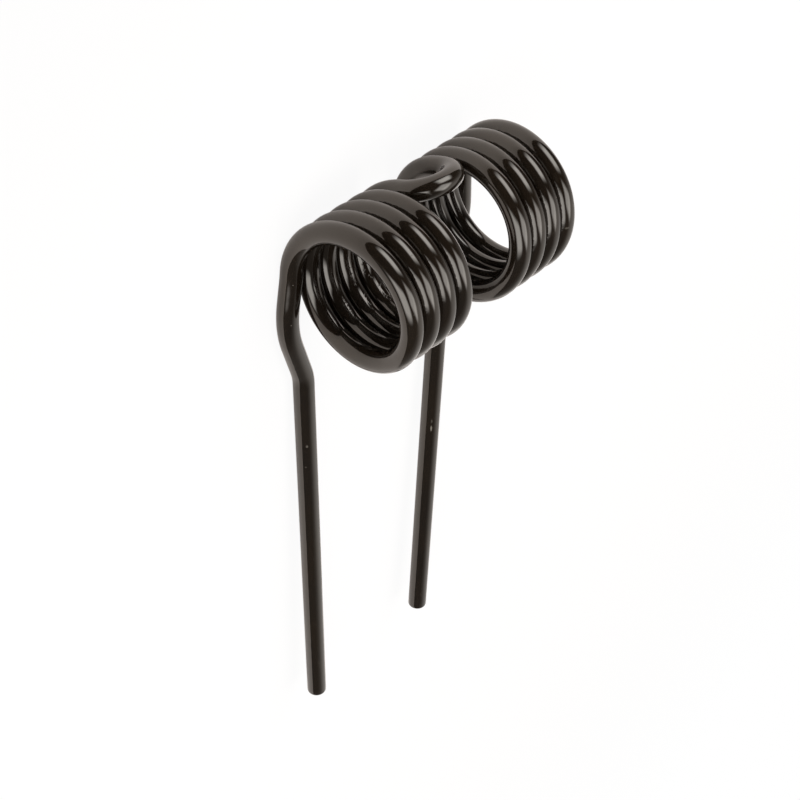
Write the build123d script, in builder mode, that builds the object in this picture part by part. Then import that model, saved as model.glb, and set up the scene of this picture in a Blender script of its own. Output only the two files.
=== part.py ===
"""Double torsion spring, wound from one length of round spring-steel wire.

The wire runs, from its left tip to its right tip: leg, jog, left coil, fixing loop, right coil,
jog, leg. The two coils share one axis and are wound to opposite hands, so the spring is its own
mirror image. Half of the wire is swept along its centre line and mirrored about the middle plane.

Frame: the spring lies on the plane Z = 0 with its legs pointing along -Y. X runs along the coils'
axis, X = 0 is the mirror plane, and the origin is under the middle of the spring's outline.
"""

import os
from math import atan, cos, pi, radians, sin, tan

from build123d import *

# Wire
wire_diameter = 5.5
tip_rounding = 1.0  # radius around each sawn end

# Coils
coil_inner_diameter = 28.5
turn_gap = 0.3  # free space between neighbouring turns
whole_turns = 4
loop_start_angle = 69.0  # degrees past the lowest point, where the last turn opens into the loop

# Fixing loop, a U between the two coils
loop_inner_width = 8.8
loop_straight = 1.5

# Legs: a short root off the coil, an upper stretch that leans away from the mirror plane, a jog
# back towards it, then the working stretch
leg_root = 2.0
upper_leg = 14.3
upper_leg_lean = 6.5  # degrees away from the mirror plane
jog_length = 18.4
jog_inset = 6.6
working_leg = 120.4
upper_bend_radius = 30.0  # of the bends at the root and at the jog's upper end
lower_bend_radius = 14.0
leg_toe_in = 1.7  # degrees towards the mirror plane
leg_lift = 2.3  # degrees up from the plane that the coils lie on

# Worked out from the sizes above
wire_radius = wire_diameter / 2
coil_radius = coil_inner_diameter / 2 + wire_radius
coil_pitch = wire_diameter + turn_gap
coil_turns = whole_turns + loop_start_angle / 360
coil_length = coil_pitch * coil_turns
lead_angle = atan(coil_pitch / (2 * pi * coil_radius))
loop_radius = loop_inner_width / 2 + wire_radius
# the lead leans the wire towards the mirror plane, so the loop's straight and arc close that much
coil_inner_x = loop_radius * cos(lead_angle) + loop_straight * sin(lead_angle)
coil_outer_x = coil_inner_x + coil_length

# Lowest point of the left coil's outer end, with the axis of the winding along +X
coil_plane = Plane(origin=(-coil_outer_x, 0, 0), x_dir=(0, 0, -1), z_dir=(1, 0, 0))

with BuildPart() as spring_wire:
    with BuildLine() as coil:
        add(coil_plane * Helix(coil_pitch, coil_length, coil_radius, mode=Mode.PRIVATE))

    # The leg leaves the coil along the tangent at its lowest point
    coil_start = coil.line @ 0
    upper_start = coil_start - (coil.line % 0) * leg_root
    upper_direction = Vector(-tan(radians(upper_leg_lean)), -1, 0).normalized()
    jog_start = upper_start + upper_direction * upper_leg
    jog_end = jog_start + Vector(jog_inset, -jog_length, 0)
    working_direction = Vector(tan(radians(leg_toe_in)), -1, tan(radians(leg_lift))).normalized()
    tip = jog_end + working_direction * working_leg
    with BuildLine() as leg:
        FilletPolyline(
            (tip, jog_end, jog_start, upper_start, coil_start),
            radius=(lower_bend_radius, upper_bend_radius, upper_bend_radius),
        )

    # The loop's plane holds the X axis and the way the coil's last turn is heading
    coil_end = coil.line @ 1
    last_heading = coil.line % 1
    loop_rise = Vector(0, last_heading.Y, last_heading.Z).normalized()
    loop_plane = Plane(origin=coil_end, x_dir=(1, 0, 0), z_dir=Vector(1, 0, 0).cross(loop_rise))
    with BuildLine(loop_plane) as loop:
        loop_run = Line((0, 0), (loop_straight * sin(lead_angle), loop_straight * cos(lead_angle)))
        loop_turn = JernArc(
            start=loop_run @ 1,
            tangent=loop_run % 1,
            radius=loop_radius,
            arc_size=-loop_plane.x_dir.get_angle(last_heading),
        )

    with BuildSketch(Plane(origin=tip, z_dir=-working_direction)):
        Circle(wire_radius)
    sweep()
    fillet(spring_wire.edges().group_by(Axis.Y)[0], radius=tip_rounding)
    mirror(about=Plane.YZ)

# Set the spring down on the plane Z = 0, with the middle of its outline over the origin
outline = spring_wire.part.bounding_box()
spring_wire.part.locate(Location((0, -outline.center().Y, -outline.min.Z)))

spring_wire.part.label = "spring_wire"
os.makedirs("parts", exist_ok=True)
export_step(spring_wire.part, "parts/spring_wire.step")
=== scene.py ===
"""Looks of the double torsion spring: its lacquered wire, and the table, cloth, lamps and camera.

Lengths are millimetres where a name ends in _mm and metres elsewhere, and angles are degrees unless a
comment says otherwise. The wire's line is worked out with the winding's axis along X and its middle
at the origin, and is then set down on the table.
"""

from math import acos, atan, cos, pi, radians, sin, tan

import bpy
import numpy as np
from mathutils import Matrix, Vector


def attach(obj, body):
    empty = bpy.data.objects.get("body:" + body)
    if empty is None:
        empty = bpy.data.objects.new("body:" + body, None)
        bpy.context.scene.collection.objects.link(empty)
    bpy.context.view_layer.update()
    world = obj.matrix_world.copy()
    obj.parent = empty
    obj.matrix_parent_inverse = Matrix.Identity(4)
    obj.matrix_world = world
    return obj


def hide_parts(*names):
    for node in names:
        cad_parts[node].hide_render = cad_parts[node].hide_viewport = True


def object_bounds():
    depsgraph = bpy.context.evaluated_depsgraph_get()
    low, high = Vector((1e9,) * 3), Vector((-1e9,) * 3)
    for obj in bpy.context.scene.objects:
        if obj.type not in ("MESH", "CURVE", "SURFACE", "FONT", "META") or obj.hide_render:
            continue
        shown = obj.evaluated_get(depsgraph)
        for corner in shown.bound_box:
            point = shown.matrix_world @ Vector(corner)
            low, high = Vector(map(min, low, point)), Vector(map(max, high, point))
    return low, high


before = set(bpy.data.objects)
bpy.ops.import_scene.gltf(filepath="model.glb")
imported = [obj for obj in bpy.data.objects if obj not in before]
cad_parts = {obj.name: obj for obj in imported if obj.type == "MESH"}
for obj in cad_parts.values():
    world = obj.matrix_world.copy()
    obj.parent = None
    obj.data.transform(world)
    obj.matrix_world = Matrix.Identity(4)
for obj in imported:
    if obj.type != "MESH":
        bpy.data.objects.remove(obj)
cad_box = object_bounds()

# Wire, winding and legs: the same sizes as the solid's
wire_diameter_mm = 5.5
tip_rounding_mm = 1.0
coil_inner_diameter_mm = 28.5
turn_gap_mm = 0.3
whole_turns = 4
loop_start_angle = 69.0
loop_inner_width_mm = 8.8
loop_straight_mm = 1.5
leg_root_mm = 2.0
upper_leg_mm = 14.3
upper_leg_lean = 6.5
jog_length_mm = 18.4
jog_inset_mm = 6.6
working_leg_mm = 120.4
upper_bend_radius_mm = 30.0
lower_bend_radius_mm = 14.0
leg_toe_in = 1.7
leg_lift = 2.3

# Worked out from the sizes above, with angles in radians
wire_radius_mm = wire_diameter_mm / 2
coil_radius_mm = coil_inner_diameter_mm / 2 + wire_radius_mm
coil_pitch_mm = wire_diameter_mm + turn_gap_mm
winding = 2 * pi * whole_turns + radians(loop_start_angle)
lead_mm = coil_pitch_mm / (2 * pi)  # for each radian of the winding
lead_angle = atan(lead_mm / coil_radius_mm)
loop_radius_mm = loop_inner_width_mm / 2 + wire_radius_mm
loop_turn = pi / 2 - lead_angle
# Distances along the wire from its middle to a coil's two ends, and the length of half a turn
half_turn_mm = pi * lead_mm / sin(lead_angle)
coil_inner_end_mm = loop_straight_mm + loop_radius_mm * loop_turn
coil_outer_end_mm = coil_inner_end_mm + half_turn_mm * winding / pi

# Mesh density
bend_step = radians(4.0)  # most that the wire turns from one ring of the mesh to the next, in radians
straight_step_mm = 3.0
facets_round = 64
tip_rings = 8
tip_clearance = 1.05  # the line's own rings start this many roundings from the tips

# Map of the unrolled wire, in shares of a row's length or height
map_rows = 9
map_end_margin = 0.01
map_side_margin = 0.06
map_overhang = 0.02  # how far a face may reach past its row's ends

# Lacquer patterns on the straightened wire: how far each is drawn out along the wire, its size in mm,
# its detail, and the noise values that count as none and as all of it. Real draw marks are under
# 0.1 mm wide, and are drawn coarser here so that they show.
lacquer_patterns = {
    "thin_patches": (2.0, 9.0, 3.0, 0.35, 0.70),
    "draw_streaks": (30.0, 0.7, 2.0, 0.35, 0.70),
    "fine_marks": (40.0, 0.28, 1.0, 0.25, 0.75),
    "orange_peel": (1.3, 2.0, 0.0, 0.0, 1.0),
    "rubs": (3.0, 3.5, 4.0, 0.66, 0.74),
    "sags": (1.0, 0.9, 1.0, 0.40, 0.75),
}

# Sags lie on the flanks by which turns face each other. Each pair of places goes from none to all: at
# the flank's top and foot, outward of the wire's middle line, and along the wire, past the first and
# short of the last place that lies between two turns.
sags_top_mm = (2.0, 0.8)
sags_foot_mm = (-1.2, -0.2)
sags_start_mm = (18.0, 28.0)
sags_end_mm = (-2.0, 8.0)

# Nibs: their spacing and radius. The inner ones are close together, and show only in gritty places.
nibs_mm = {
    "nib": (4.0, 0.17),
    "inner_nib": (0.8, 0.30),
}

# Nicks, of which each shows once: distance along the wire in mm, angle round it from its outward side,
# half length and half width in mm, and strength
lacquer_nicks = (
    (99.3, 137.8, 0.60, 0.42, 0.5),
    (92.1, 126.6, 0.36, 0.30, 0.3),
    (1160.5, -137.8, 1.40, 0.34, 0.85),
    (1157.9, -137.8, 0.90, 0.36, 0.25),
    (1024.5, -33.0, 0.35, 0.85, 0.3),
)

# Gritty places on the turns' inner side, given the same way
gritty_places = (
    (354.5, 174.0, 4.0, 0.9, 1.0),
    (574.0, 150.0, 5.0, 1.2, 1.0),
    (565.0, -177.0, 5.0, 1.4, 1.0),
    (459.0, -166.0, 4.0, 1.0, 1.0),
    (467.0, 166.0, 4.0, 0.8, 1.0),
)
spot_core = 0.3  # share of its reach within which a nib, nick or gritty place is at its strongest

# The lacquer's colour, and the tone that each pattern turns it to, with its share at most
lacquer_colour = "#15100C"
lacquer_tones = (
    ("thin_patches", "#1E160D", 0.5),
    ("draw_streaks", "#1C1610", 0.4),
    ("rubs", "#3A342C", 0.4),
    ("nib", "#6A635A", 0.8),
    ("inner_nib", "#3A352E", 0.5),
    ("nick", "#7A746A", 1.0),
)

# Its roughness, and what each pattern adds to it
lacquer_roughness = 0.05
lacquer_dulling = {"thin_patches": 0.02, "draw_streaks": 0.02, "rubs": 0.12, "nib": 0.2, "nick": 0.3}

# How far each pattern stands up
lacquer_relief_mm = {
    "orange_peel": 0.020,
    "draw_streaks": 0.0012,
    "fine_marks": 0.0006,
    "nib": 0.03,
    "inner_nib": 0.065,
    "sags": 0.038,
}

lacquer_ior = 1.65  # a clear lacquer has 1.5, and a bituminous black one 1.6 or a little more
lacquer_reflection = "#FFF9F0"

# Table: azimuth that its front edge faces, how far off that edge is, and how far it reaches otherwise
table_front_azimuth = 130.0
table_front = 0.30
table_reach = 4.0

# Its paper, and the tone it dims to between these distances on the way to the front edge: painted shade
table_paper = "#FBF3EE"
table_paper_painted_shade = "#D6CFCB"
table_shade = (0.06, 0.22)

# Reflections see a glow over the paper. These are its shares at two distances behind the spring, as
# seen from the front edge, and it changes smoothly between them.
table_glow_colour = "#FFF7F2"
table_glow = (0.2, 0.8)
table_glow_behind = (0.15, 0.90)

# The picture keeps this share of the spring's shadow within the first radius, and none past the second
shadow_depth = 0.08
shadow_radius = (0.22, 0.60)

# Cloth hung round the table, which shows in reflections. Its brightness is painted light and shade:
# brightness at some azimuths, even between, and how many degrees those azimuths move for each degree
# above or below the middle elevation
cloth_radius = 1.7
cloth_lowest = -50.0
cloth_highest = 90.0
cloth_step = 2.5
cloth_colour = "#FFFAF5"
cloth_azimuths = (-110.0, -85.0, -65.0, -48.0, -10.0, 8.0, 22.0, 38.0, 170.0, 180.0, 245.0)
cloth_painted_light_and_shade = (0.10, 0.30, 0.66, 0.86, 0.86, 0.54, 0.16, 0.03, 0.02, 0.13, 0.10)
cloth_lean = 0.40
cloth_middle = 40.0

# Painted light, a glow low on the cloth: the brightness it adds, its azimuth and elevation, and its
# reach in each
cloth_painted_glow = 0.95
cloth_glow_place = (-72.0, 0.0)
cloth_glow_reach = (17.0, 8.0)

surround_fill = 0.30  # brightness of the white surround, as light on the object

# Softboxes: azimuth, elevation, turn, width and height at half brightness, brightness of the face,
# and the share of the half width over which the face darkens towards its edges
softbox_distance = 1.1
softboxes = {
    "side_softbox": (68.0, 25.0, 9.0, 0.70, 0.65, 4.9, 1.0),
    "top_softbox": (43.0, 80.4, 12.0, 0.78, 0.76, 3.6, 0.8),
    "left_softbox": (187.3, 33.1, 2.0, 0.70, 0.88, 4.1, 0.8),
}

# Middle of the coils' axis, which the softboxes face
coil_middle_mm = (0.0, 66.7, 19.75)

# Camera
camera_place_mm = (-257.94, 294.83, 211.05)
camera_forward = (0.5999, -0.6540, -0.4610)
camera_up = (0.4727, 0.7545, -0.4553)
lens_mm = 74.056
sensor_width_mm = 36.0


def mm(values):
    """Millimetres to metres."""
    return np.asarray(values, dtype=float) / 1000.0


def unit(vectors):
    """Vectors of length 1, for one vector or for rows of them."""
    vectors = np.asarray(vectors, dtype=float)
    return vectors / np.linalg.norm(vectors, axis=-1, keepdims=True)


def direction(azimuth, elevation):
    """Unit vector at those angles: azimuth from +X towards +Y, elevation above the table."""
    a, e = radians(azimuth), radians(elevation)
    return np.array([cos(e) * cos(a), cos(e) * sin(a), sin(e)])


def straight(start, end):
    """Run from start to end: start + t * (end - start). Returns its points and headings."""
    length = np.linalg.norm(end - start)
    count = max(2, int(np.ceil(length / straight_step_mm)) + 1)
    t = np.linspace(0.0, 1.0, count)[:, None]
    return start + t * (end - start), np.tile(unit(end - start), (count, 1))


def bend(before, corner, after, radius):
    """Arc that touches both runs of a corner, at radius * tan(turn / 2) from it.

    A point is centre - radius * cos(a) * side + radius * sin(a) * heading, for a from 0 to the turn,
    and its heading is cos(a) * heading + sin(a) * side. Side points from the first run to the centre.
    """
    heading = unit(corner - before)
    leaving = unit(after - corner)
    turn = acos(float(heading @ leaving))
    side = unit(leaving - heading * (heading @ leaving))
    start = corner - heading * radius * tan(turn / 2)
    a = np.linspace(0.0, turn, int(np.ceil(turn / bend_step)) + 2)[:, None]
    points = start + radius * (1 - np.cos(a)) * side + radius * np.sin(a) * heading
    return points, np.cos(a) * heading + np.sin(a) * side


def left_half():
    """Line of the wire from the left tip to the middle of the loop, in mm.

    Returns points, headings and the outward side, which is at right angles to the heading: away from
    the winding's axis on the coil, down on the leg, and square to the loop's plane on the loop.
    """
    coil_inner_x = loop_radius_mm * cos(lead_angle) + loop_straight_mm * sin(lead_angle)
    coil_outer_x = coil_inner_x + lead_mm * winding

    # Coil: x = start + lead * a, y = R * sin(a), z = -R * cos(a)
    a = np.linspace(0.0, winding, int(np.ceil(winding / bend_step)) + 1)
    zero = np.zeros_like(a)
    y = coil_radius_mm * np.sin(a)
    z = -coil_radius_mm * np.cos(a)
    coil = np.stack([lead_mm * a - coil_outer_x, y, z], 1)
    coil_heading = unit(np.stack([zero + lead_mm, -z, y], 1))
    coil_outward = np.stack([zero, np.sin(a), -np.cos(a)], 1)

    # Leg: four straight runs, joined by three bends
    upper_start = coil[0] - coil_heading[0] * leg_root_mm
    jog_start = upper_start + unit([-tan(radians(upper_leg_lean)), -1.0, 0.0]) * upper_leg_mm
    jog_end = jog_start + np.array([jog_inset_mm, -jog_length_mm, 0.0])
    working = unit([tan(radians(leg_toe_in)), -1.0, tan(radians(leg_lift))])
    tip = jog_end + working * working_leg_mm
    lower = bend(tip, jog_end, jog_start, lower_bend_radius_mm)
    upper = bend(jog_end, jog_start, upper_start, upper_bend_radius_mm)
    root = bend(jog_start, upper_start, coil[0], upper_bend_radius_mm)
    leg_parts = [
        straight(tip, lower[0][0]),
        lower,
        straight(lower[0][-1], upper[0][0]),
        upper,
        straight(upper[0][-1], root[0][0]),
        root,
        straight(root[0][-1], coil[0]),
    ]
    leg = np.concatenate([points[:-1] for points, _ in leg_parts])
    leg_heading = np.concatenate([headings[:-1] for _, headings in leg_parts])
    down = np.array([0.0, 0.0, -1.0])
    leg_outward = unit(down - leg_heading * (leg_heading @ down)[:, None])

    # Loop: a short straight and an arc, in the plane of X and the coil's last rise
    rise = unit([0.0, coil_heading[-1][1], coil_heading[-1][2]])
    arc_start = coil[-1] + coil_heading[-1] * loop_straight_mm
    side = cos(lead_angle) * np.array([1.0, 0.0, 0.0]) - sin(lead_angle) * rise
    b = np.linspace(0.0, loop_turn, int(np.ceil(loop_turn / bend_step)) + 1)[:, None]
    loop_heading = np.cos(b) * coil_heading[-1] + np.sin(b) * side
    loop = arc_start + loop_radius_mm * ((1 - np.cos(b)) * side + np.sin(b) * coil_heading[-1])
    loop_outward = np.tile(coil_outward[-1], (len(loop), 1))

    return (
        np.concatenate([leg, coil, loop]),
        np.concatenate([leg_heading, coil_heading, loop_heading]),
        np.concatenate([leg_outward, coil_outward, loop_outward]),
    )


def whole_wire():
    """The left half, then its mirror image about X = 0 walked the other way, set down on the table."""
    points, headings, outward = left_half()
    flip = np.array([-1.0, 1.0, 1.0])
    points = np.concatenate([points, (points * flip)[-2::-1]])
    headings = np.concatenate([headings, (-headings * flip)[-2::-1]])
    outward = np.concatenate([outward, (outward * flip)[-2::-1]])
    highest = np.array(cad_box[1]) * 1000
    coil_top = points[:, 2].max() + wire_radius_mm
    rear = points[:, 1].max() + wire_radius_mm
    points = points + np.array([0.0, highest[1] - rear, highest[2] - coil_top])
    return points, headings, outward


def tube(points, headings, outward, radius, rounding):
    """Surface of round wire with sawn, rounded ends.

    A point is line(s) + r(s) * (cos(v) * outward + sin(v) * sideways), where sideways is square to
    both heading and outward. r is the wire's radius, except at the ends, where it follows a quarter
    circle of the rounding's radius down to a flat face, which closes on a pole.
    Returns the points, s and r of each ring, and v of each point round it.
    """
    q = np.linspace(0.0, pi / 2, tip_rings)
    flat = radius - rounding
    inset = np.concatenate([[0.0, 0.0], rounding * (1 - np.cos(q))])
    end_r = np.concatenate([[0.0, flat / 2], flat + rounding * np.sin(q)])

    s = np.concatenate([[0.0], np.cumsum(np.linalg.norm(np.diff(points, axis=0), axis=1))])
    near_tip = rounding * tip_clearance
    inner = (s > near_tip) & (s < s[-1] - near_tip)
    ring_s = np.concatenate([inset, s[inner], s[-1] - inset[::-1]])
    ring_r = np.concatenate([end_r, np.full(inner.sum(), radius), end_r[::-1]])

    def along(values):
        return np.stack([np.interp(ring_s, s, values[:, k]) for k in range(3)], 1)

    line = along(points)
    heading = unit(along(headings))
    out = along(outward)
    out = unit(out - heading * (out * heading).sum(1, keepdims=True))
    sideways = np.cross(heading, out)
    v = np.linspace(0.0, 2 * pi, facets_round, endpoint=False)[None, :, None]
    ring = np.cos(v) * out[:, None] + np.sin(v) * sideways[:, None]
    return line[:, None] + ring_r[:, None, None] * ring, ring_s, ring_r, v[0, :, 0]


def build_wire():
    """The wire as one closed mesh, and the wire's length in mm.

    Its attribute wire_place is each point's place on the straightened wire: X along the wire from the
    left tip, Y outward and Z towards the side that faces away from the middle plane.
    """
    points, headings, outward = whole_wire()
    grid, ring_s, ring_r, v = tube(points, headings, outward, wire_radius_mm, tip_rounding_mm)
    rings, sides = grid.shape[:2]

    # The first and last ring have no width, so each is one vertex
    vertices = np.concatenate([grid[0, :1], grid[1:-1].reshape(-1, 3), grid[-1, :1]])
    place = np.stack(
        [
            np.repeat(ring_s, sides),
            (ring_r[:, None] * np.cos(v)).ravel(),
            (ring_r[:, None] * np.sin(v)).ravel(),
        ],
        1,
    ).reshape(rings, sides, 3)
    places = np.concatenate([place[0, :1], place[1:-1].reshape(-1, 3), place[-1, :1]])

    index = 1 + np.arange((rings - 2) * sides).reshape(rings - 2, sides)
    after = np.roll(index, -1, axis=1)
    quads = np.stack([index[:-1], after[:-1], after[1:], index[1:]], -1).reshape(-1, 4)
    first_fan = np.stack([np.zeros(sides, int), after[0], index[0]], -1)
    last_fan = np.stack([np.full(sides, len(vertices) - 1), index[-1], after[-1]], -1)

    loops = np.concatenate([first_fan.ravel(), quads.ravel(), last_fan.ravel()])
    sizes = np.concatenate([np.full(sides, 3), np.full(len(quads), 4), np.full(sides, 3)])
    starts = np.concatenate([[0], np.cumsum(sizes)[:-1]])

    mesh = bpy.data.meshes.new("spring_wire_lacquered")
    mesh.vertices.add(len(vertices))
    mesh.vertices.foreach_set("co", mm(vertices).ravel())
    mesh.loops.add(len(loops))
    mesh.loops.foreach_set("vertex_index", loops)
    mesh.polygons.add(len(sizes))
    mesh.polygons.foreach_set("loop_start", starts)
    mesh.polygons.foreach_set("use_smooth", np.ones(len(sizes), bool))
    mesh.update(calc_edges=True)
    mesh.validate()

    wire_place = mesh.attributes.new("wire_place", "FLOAT_VECTOR", "POINT")
    wire_place.data.foreach_set("vector", mm(places).ravel())
    return mesh, ring_s[-1]


def lay_out_map(mesh):
    """Map of the unrolled wire, folded like lines of text into map_rows rows.

    u is the distance within the row and v is the angle round the wire plus the row's number, so the
    map's seam runs along the wire's inner side.
    """
    count = len(mesh.loops)
    corner_vertex = np.empty(count, np.int32)
    mesh.loops.foreach_get("vertex_index", corner_vertex)
    places = np.empty(len(mesh.vertices) * 3, np.float32)
    mesh.attributes["wire_place"].data.foreach_get("vector", places)
    places = places.reshape(-1, 3)[corner_vertex]
    starts = np.empty(len(mesh.polygons), np.int32)
    mesh.polygons.foreach_get("loop_start", starts)
    face = np.repeat(np.arange(len(starts)), np.diff(np.append(starts, count)))

    length = places[:, 0].max()
    middle = np.bincount(face, places[:, 0]) / np.bincount(face)
    row = np.minimum((middle / length * map_rows).astype(int), map_rows - 1)[face]
    reach = places[:, 0] / length * map_rows - row

    angle = np.arctan2(places[:, 2], places[:, 1]) / (2 * pi) + 0.5
    lowest = np.minimum.reduceat(angle, starts)[face]
    highest = np.maximum.reduceat(angle, starts)[face]
    angle = np.where((highest - lowest > 0.5) & (angle < 0.5), angle + 1.0, angle)

    # A face across the seam reaches one facet past the full angle
    whole_angle = 1 + 1 / facets_round
    u = map_end_margin + (1 - 2 * map_end_margin) * (reach + map_overhang) / (1 + 2 * map_overhang)
    v = (row + map_side_margin + (1 - 2 * map_side_margin) * angle / whole_angle) / map_rows
    layer = mesh.uv_layers.new(name="OFBake")
    layer.data.foreach_set("uv", np.stack([u, v], 1).astype(np.float32).ravel())


def linear(hex_colour, alpha=1.0):
    """sRGB hex to the linear colour that a shader reads."""
    srgb = np.array([int(hex_colour[k : k + 2], 16) / 255 for k in (1, 3, 5)])
    rgb = np.where(srgb <= 0.04045, srgb / 12.92, ((srgb + 0.055) / 1.055) ** 2.4)
    return (*rgb.tolist(), alpha)


def add(tree, kind, sockets=None, **settings):
    """Adds one node with its settings. Each socket is joined to an output or set to a constant."""
    made = tree.nodes.new(kind)
    for name, value in settings.items():
        setattr(made, name, value)
    for name, value in (sockets or {}).items():
        if isinstance(value, bpy.types.NodeSocket):
            tree.links.new(value, made.inputs[name])
        else:
            made.inputs[name].default_value = value
    return made


def new_material(name):
    """Empty node material with its output."""
    material = bpy.data.materials.new(name)
    material.use_nodes = True
    tree = material.node_tree
    tree.nodes.clear()
    return material, tree, tree.nodes.new("ShaderNodeOutputMaterial")


def noise_patterns(tree, place):
    """Clouds, streaks and bumps by name, each from 0 to 1: noise that is drawn out along the wire."""
    pattern = {}
    for name, (stretch, size_mm, detail, low, high) in lacquer_patterns.items():
        squeezed = add(
            tree,
            "ShaderNodeVectorMath",
            {0: place, 1: (1.0 / stretch, 1.0, 1.0)},
            operation="MULTIPLY",
        )
        noise = add(
            tree,
            "ShaderNodeTexNoise",
            {"Vector": squeezed.outputs[0], "Scale": 1000.0 / size_mm, "Detail": detail},
        )
        pattern[name] = add(
            tree,
            "ShaderNodeMapRange",
            {"Value": noise.outputs[0], "From Min": low, "From Max": high},
        ).outputs["Result"]
    return pattern


def nib_pattern(tree, place, spacing_mm, radius_mm):
    """Balls of dust, scattered one to a cell of that spacing, that show where they meet the surface."""
    cells = add(tree, "ShaderNodeTexVoronoi", {"Vector": place, "Scale": 1000.0 / spacing_mm})
    return add(
        tree,
        "ShaderNodeMapRange",
        {
            "Value": cells.outputs["Distance"],
            "From Min": radius_mm / spacing_mm,
            "From Max": spot_core * radius_mm / spacing_mm,
        },
        interpolation_type="SMOOTHSTEP",
    ).outputs["Result"]


def facing_turns(tree, place, wire_middle_mm):
    """1 on the flanks by which turns face each other, fading to 0 elsewhere.

    Half a turn from a flank, towards the turn beside it, the wire is halfway between the two. That
    place is found as the distance from the wire's middle, plus half a turn on the flanks that face
    the legs and less half a turn on those that face the loop. It lies between two turns from half a
    turn past a coil's inner end to half a turn short of its outer end.
    """
    split = add(tree, "ShaderNodeSeparateXYZ", {0: place}).outputs
    off_middle = add(
        tree, "ShaderNodeMath", {0: split["X"], 1: wire_middle_mm / 1000.0}, operation="SUBTRACT"
    ).outputs[0]
    off_middle = add(tree, "ShaderNodeMath", {0: off_middle}, operation="ABSOLUTE").outputs[0]
    facing = add(tree, "ShaderNodeMath", {0: split["Z"]}, operation="SIGN").outputs[0]
    between = add(
        tree,
        "ShaderNodeMath",
        {0: facing, 1: half_turn_mm / 1000.0, 2: off_middle},
        operation="MULTIPLY_ADD",
    ).outputs[0]
    first_mm = coil_inner_end_mm + half_turn_mm
    last_mm = coil_outer_end_mm - half_turn_mm
    limits = (
        (split["Y"], sags_top_mm),
        (split["Y"], sags_foot_mm),
        (between, [first_mm + past for past in sags_start_mm]),
        (between, [last_mm - short for short in sags_end_mm]),
    )
    share = 1.0
    for measured, (none_mm, all_mm) in limits:
        within = add(
            tree,
            "ShaderNodeMapRange",
            {"Value": measured, "From Min": none_mm / 1000.0, "From Max": all_mm / 1000.0},
            interpolation_type="SMOOTHSTEP",
        ).outputs["Result"]
        share = add(tree, "ShaderNodeMath", {0: share, 1: within}, operation="MULTIPLY").outputs[0]
    return share


def spots(tree, place, listed):
    """Ellipsoids round the listed places on the wire, each strongest at its middle."""
    strongest = 0.0
    for along_mm, angle, half_length_mm, half_width_mm, strength in listed:
        a = radians(angle)
        middle = mm([along_mm, wire_radius_mm * cos(a), wire_radius_mm * sin(a)])
        off = add(
            tree, "ShaderNodeVectorMath", {0: place, 1: middle.tolist()}, operation="SUBTRACT"
        ).outputs[0]
        per_reach = 1.0 / mm([half_length_mm, half_width_mm, half_width_mm])
        off = add(
            tree, "ShaderNodeVectorMath", {0: off, 1: per_reach.tolist()}, operation="MULTIPLY"
        ).outputs[0]
        off = add(tree, "ShaderNodeVectorMath", {0: off}, operation="LENGTH").outputs["Value"]
        spot = add(
            tree,
            "ShaderNodeMapRange",
            {"Value": off, "From Min": 1.0, "From Max": spot_core, "To Max": strength},
            interpolation_type="SMOOTHSTEP",
        ).outputs["Result"]
        strongest = add(
            tree, "ShaderNodeMath", {0: spot, 1: strongest}, operation="MAXIMUM"
        ).outputs[0]
    return strongest


def black_dip_lacquer(wire_middle_mm):
    """Black dip lacquer on oil-tempered spring wire.

    The wire is drawn, tempered, wound and bent, and the whole spring is dipped once and stoved. That
    gives a thin brown-black skin, glossy like still oil, with a faint orange peel. The die's draw
    marks show through it as streaks along the wire, and it sags where it ran together between the
    turns. Dust is stoved in as nibs, which gather into grit inside the coils, and handling leaves
    dull rubs and a few pale nicks.
    """
    material, tree, output = new_material("black_dip_lacquer")
    place = add(tree, "ShaderNodeAttribute", attribute_name="wire_place").outputs["Vector"]
    pattern = noise_patterns(tree, place)
    for name, (spacing_mm, radius_mm) in nibs_mm.items():
        pattern[name] = nib_pattern(tree, place, spacing_mm, radius_mm)
    pattern["nick"] = spots(tree, place, lacquer_nicks)
    where = {
        "sags": facing_turns(tree, place, wire_middle_mm),
        "inner_nib": spots(tree, place, gritty_places),
    }
    for name, share in where.items():
        pattern[name] = add(
            tree, "ShaderNodeMath", {0: pattern[name], 1: share}, operation="MULTIPLY"
        ).outputs[0]

    colour = linear(lacquer_colour)
    for name, tone, share in lacquer_tones:
        amount = add(tree, "ShaderNodeMath", {0: pattern[name], 1: share}, operation="MULTIPLY")
        colour = add(
            tree,
            "ShaderNodeMix",
            {0: amount.outputs[0], 6: colour, 7: linear(tone)},
            data_type="RGBA",
        ).outputs[2]

    roughness = lacquer_roughness
    for name, rougher in lacquer_dulling.items():
        roughness = add(
            tree,
            "ShaderNodeMath",
            {0: pattern[name], 1: rougher, 2: roughness},
            operation="MULTIPLY_ADD",
        ).outputs[0]

    # The height is in metres, so the bump's distance is 1
    height = 0.0
    for name, rise_mm in lacquer_relief_mm.items():
        height = add(
            tree,
            "ShaderNodeMath",
            {0: pattern[name], 1: rise_mm / 1000.0, 2: height},
            operation="MULTIPLY_ADD",
        ).outputs[0]
    bump = add(tree, "ShaderNodeBump", {"Height": height, "Distance": 1.0, "Strength": 1.0})

    shader = add(
        tree,
        "ShaderNodeBsdfPrincipled",
        {
            "Base Color": colour,
            "Roughness": roughness,
            "Normal": bump.outputs["Normal"],
            "IOR": lacquer_ior,
            "Specular Tint": linear(lacquer_reflection),
        },
    )
    tree.links.new(shader.outputs["BSDF"], output.inputs["Surface"])
    return material


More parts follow.
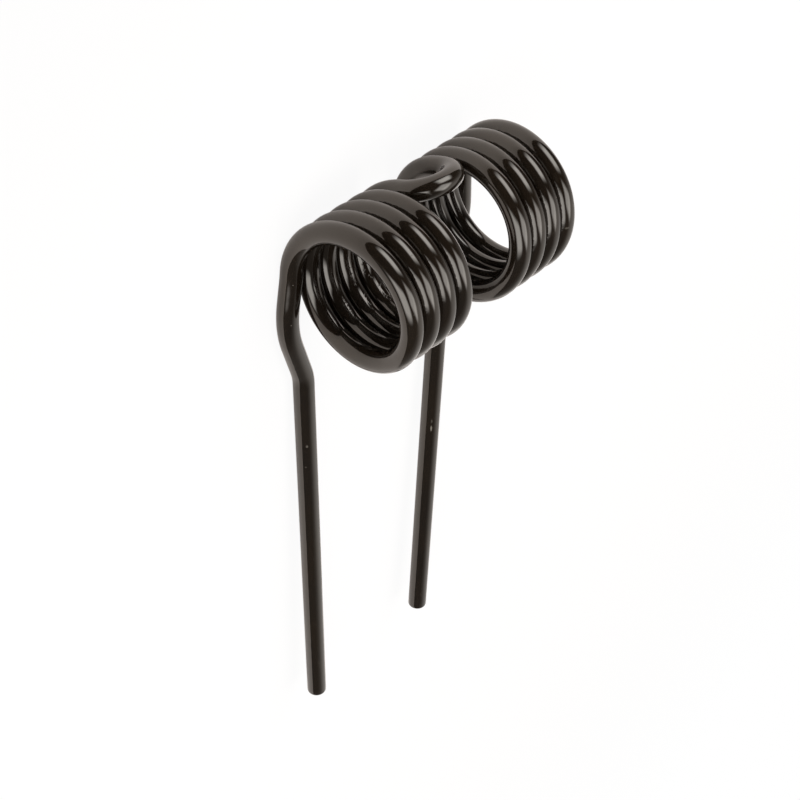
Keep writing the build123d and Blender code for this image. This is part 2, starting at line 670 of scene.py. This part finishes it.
def ray_kinds(tree):
    """1 for a camera ray, and 1 for a ray from a reflection or clear material."""
    path = add(tree, "ShaderNodeLightPath").outputs
    mirrored = add(
        tree,
        "ShaderNodeMath",
        {0: path["Is Glossy Ray"], 1: path["Is Transmission Ray"]},
        operation="MAXIMUM",
    ).outputs[0]
    return path["Is Camera Ray"], mirrored


def table_material():
    """Uncoated table paper: matt and warm white.

    The camera sees it as plain white with a trace of the spring's shadow. Reflections see the lit
    paper under a glow, with painted shade that dims its colour towards the front edge. Forward is the
    way from the spring to the table's front edge.
    """
    material, tree, output = new_material("white_table_paper")
    to_camera, mirrored = ray_kinds(tree)
    place = add(tree, "ShaderNodeTexCoord").outputs["Object"]
    distance = add(tree, "ShaderNodeVectorMath", {0: place}, operation="LENGTH").outputs["Value"]
    forward = add(
        tree,
        "ShaderNodeVectorMath",
        {0: place, 1: direction(table_front_azimuth, 0.0).tolist()},
        operation="DOT_PRODUCT",
    ).outputs["Value"]

    # Painted shade: the paper's colour dims towards the front edge
    shaded = add(
        tree,
        "ShaderNodeMapRange",
        {"Value": forward, "From Min": table_shade[0], "From Max": table_shade[1]},
        interpolation_type="SMOOTHSTEP",
    ).outputs["Result"]
    tint = add(
        tree,
        "ShaderNodeMix",
        {0: shaded, 6: linear(table_paper), 7: linear(table_paper_painted_shade)},
        data_type="RGBA",
    ).outputs[2]
    paper = add(tree, "ShaderNodeBsdfDiffuse", {"Color": tint}).outputs[0]

    glow_share = add(
        tree,
        "ShaderNodeMapRange",
        {
            "Value": forward,
            "From Min": -table_glow_behind[0],
            "From Max": -table_glow_behind[1],
            "To Min": table_glow[0],
            "To Max": table_glow[1],
        },
        interpolation_type="SMOOTHSTEP",
    ).outputs["Result"]
    glow_share = add(
        tree, "ShaderNodeMath", {0: mirrored, 1: glow_share}, operation="MULTIPLY"
    ).outputs[0]
    glow = add(tree, "ShaderNodeEmission", {"Color": linear(table_glow_colour)}).outputs[0]
    lit = add(tree, "ShaderNodeMixShader", {0: glow_share, 1: paper, 2: glow}).outputs[0]

    white_share = add(
        tree,
        "ShaderNodeMapRange",
        {
            "Value": distance,
            "From Min": shadow_radius[0],
            "From Max": shadow_radius[1],
            "To Min": 1.0 - shadow_depth,
        },
        interpolation_type="SMOOTHSTEP",
    ).outputs["Result"]
    white_share = add(
        tree, "ShaderNodeMath", {0: to_camera, 1: white_share}, operation="MULTIPLY"
    ).outputs[0]
    white = add(tree, "ShaderNodeEmission", {"Color": linear("#FFFFFF")}).outputs[0]
    shown = add(tree, "ShaderNodeMixShader", {0: white_share, 1: lit, 2: white}).outputs[0]
    tree.links.new(shown, output.inputs["Surface"])
    return material


def build_world():
    """White all round, which gives the object only a faint light."""
    world = bpy.data.worlds.new("white_surround")
    bpy.context.scene.world = world
    world.use_nodes = True
    tree = world.node_tree
    tree.nodes.clear()
    to_camera, mirrored = ray_kinds(tree)
    seen = add(tree, "ShaderNodeMath", {0: to_camera, 1: mirrored}, operation="MAXIMUM").outputs[0]
    white = linear("#FFFFFF")
    fill = add(tree, "ShaderNodeBackground", {"Color": white, "Strength": surround_fill})
    shown = add(tree, "ShaderNodeBackground", {"Color": white})
    mixed = add(tree, "ShaderNodeMixShader", {0: seen, 1: fill.outputs[0], 2: shown.outputs[0]})
    add(tree, "ShaderNodeOutputWorld", {"Surface": mixed.outputs[0]})


def build_table():
    """Table top under the spring: z = 0, within its reach and behind its front edge."""
    front = direction(table_front_azimuth, 0.0)
    aside = direction(table_front_azimuth + 90.0, 0.0)
    corners = [
        front * table_front + aside * table_reach,
        front * -table_reach + aside * table_reach,
        front * -table_reach - aside * table_reach,
        front * table_front - aside * table_reach,
    ]
    mesh = bpy.data.meshes.new("table_top")
    mesh.from_pydata([corner.tolist() for corner in corners], [], [(0, 1, 2, 3)])
    mesh.materials.append(table_material())
    table = bpy.data.objects.new("table_top", mesh)
    bpy.context.collection.objects.link(table)


def cloth_material():
    """Bleached cotton cloth, matt white. Its glow is painted light and shade, as bright as the lamps'
    spill would make it in each place.

    Its attribute tone says how bright that is.
    """
    material, tree, output = new_material("cloth_surround")
    tone = add(tree, "ShaderNodeAttribute", attribute_name="tone").outputs["Fac"]
    glow = add(tree, "ShaderNodeEmission", {"Color": linear(cloth_colour), "Strength": tone})
    tree.links.new(glow.outputs[0], output.inputs["Surface"])
    return material


def build_cloth():
    """Cloth round the table, whose painted light and shade go from bright behind the spring to black
    beside the camera.

    A point is radius * direction(azimuth, elevation). Its brightness is read between the named
    azimuths, plus a glow that falls off as exp(-x**2 - y**2), where x and y are the angles off its
    middle in shares of its reach. The cloth shows only in reflections.
    """
    count = int(360.0 / cloth_step)
    azimuth = cloth_azimuths[0] + cloth_step * np.arange(count)
    rise = np.linspace(cloth_lowest, cloth_highest, int((cloth_highest - cloth_lowest) / cloth_step) + 1)
    a, e = np.meshgrid(np.radians(azimuth), np.radians(rise))
    grid = cloth_radius * np.stack([np.cos(e) * np.cos(a), np.cos(e) * np.sin(a), np.sin(e)], -1)
    index = np.arange(a.size).reshape(a.shape)
    after = np.roll(index, -1, axis=1)
    faces = np.stack([index[:-1], index[1:], after[1:], after[:-1]], -1)
    mesh = bpy.data.meshes.new("cloth_surround")
    mesh.from_pydata(grid.reshape(-1, 3).tolist(), [], faces.reshape(-1, 4).tolist())
    mesh.materials.append(cloth_material())

    # Painted light and shade of the cloth, kept as its tone
    unleaned = np.degrees(a) - cloth_lean * (np.degrees(e) - cloth_middle)
    tones = np.interp(unleaned, cloth_azimuths, cloth_painted_light_and_shade, period=360.0)
    x = (np.degrees(a) - cloth_glow_place[0]) / cloth_glow_reach[0]
    y = (np.degrees(e) - cloth_glow_place[1]) / cloth_glow_reach[1]
    tones = tones + cloth_painted_glow * np.exp(-(x**2) - y**2)
    tone = mesh.attributes.new("tone", "FLOAT", "POINT")
    tone.data.foreach_set("value", tones.ravel().astype(np.float32))

    cloth = bpy.data.objects.new("cloth_surround", mesh)
    bpy.context.collection.objects.link(cloth)
    cloth.visible_camera = False
    cloth.visible_diffuse = False
    cloth.visible_shadow = False


def darken_edges(lamp, blur):
    """Makes a lamp's face darken towards its edges: the product of a smooth step in width and in height.

    Each step falls from 1 at 1 - blur / 2 to 0 at 1 + blur / 2 of the half size, where the face ends.
    """
    lamp.use_nodes = True
    tree = lamp.node_tree
    tree.nodes.clear()
    place = add(tree, "ShaderNodeNewGeometry").outputs["Parametric"]
    off = add(tree, "ShaderNodeVectorMath", {0: place, 1: (0.5, 0.5, 0.5)}, operation="SUBTRACT")
    away = add(tree, "ShaderNodeVectorMath", {0: off.outputs[0]}, operation="ABSOLUTE").outputs[0]
    full_at = 0.5 * (1 - blur / 2) / (1 + blur / 2)
    step = add(
        tree,
        "ShaderNodeMapRange",
        {"Vector": away, 7: (0.5,) * 3, 8: (full_at,) * 3},
        data_type="FLOAT_VECTOR",
        interpolation_type="SMOOTHSTEP",
    )
    split = add(tree, "ShaderNodeSeparateXYZ", {0: step.outputs["Vector"]}).outputs
    share = add(tree, "ShaderNodeMath", {0: split["X"], 1: split["Y"]}, operation="MULTIPLY").outputs[0]
    glow = add(tree, "ShaderNodeEmission", {"Strength": share})
    add(tree, "ShaderNodeOutputLight", {"Surface": glow.outputs[0]})


def build_softbox(name, azimuth, elevation, turn, width, height, brightness, blur):
    """Softbox facing the coils. Its power is brightness * pi * area."""
    lamp = bpy.data.lights.new(name, "AREA")
    lamp.shape = "RECTANGLE"
    lamp.size = width * (1 + blur / 2)
    lamp.size_y = height * (1 + blur / 2)
    lamp.energy = brightness * pi * lamp.size * lamp.size_y
    darken_edges(lamp, blur)
    softbox = bpy.data.objects.new(name, lamp)
    bpy.context.collection.objects.link(softbox)
    out = direction(azimuth, elevation)
    level = unit(np.cross([0.0, 0.0, 1.0], out))
    steep = np.cross(out, level)
    turned = np.eye(4)
    turned[:3, 0] = cos(radians(turn)) * level + sin(radians(turn)) * steep
    turned[:3, 1] = cos(radians(turn)) * steep - sin(radians(turn)) * level
    turned[:3, 2] = out
    turned[:3, 3] = mm(coil_middle_mm) + out * softbox_distance
    softbox.matrix_world = Matrix(turned.tolist())
    softbox.visible_camera = False


def build_camera():
    """Camera looking down on the spring, turned so that the legs hang down the picture."""
    forward = Vector(camera_forward).normalized()
    right = forward.cross(Vector(camera_up)).normalized()
    up = right.cross(forward)
    data = bpy.data.cameras.new("camera")
    data.lens = lens_mm
    data.sensor_width = sensor_width_mm
    camera = bpy.data.objects.new("camera", data)
    bpy.context.collection.objects.link(camera)
    turned = Matrix((right, up, -forward)).transposed().to_4x4()
    camera.matrix_world = Matrix.Translation(Vector(mm(camera_place_mm).tolist())) @ turned
    bpy.context.scene.camera = camera


wire_mesh, wire_length_mm = build_wire()
lay_out_map(wire_mesh)
wire_mesh.materials.append(black_dip_lacquer(wire_length_mm / 2))
wire = bpy.data.objects.new("spring_wire_lacquered", wire_mesh)
bpy.context.collection.objects.link(wire)
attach(wire, "root")
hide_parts("spring_wire")

build_table()
build_world()
build_cloth()
for softbox_name, softbox_facts in softboxes.items():
    build_softbox(softbox_name, *softbox_facts)
build_camera()

bpy.context.scene.view_settings.view_transform = "Standard"
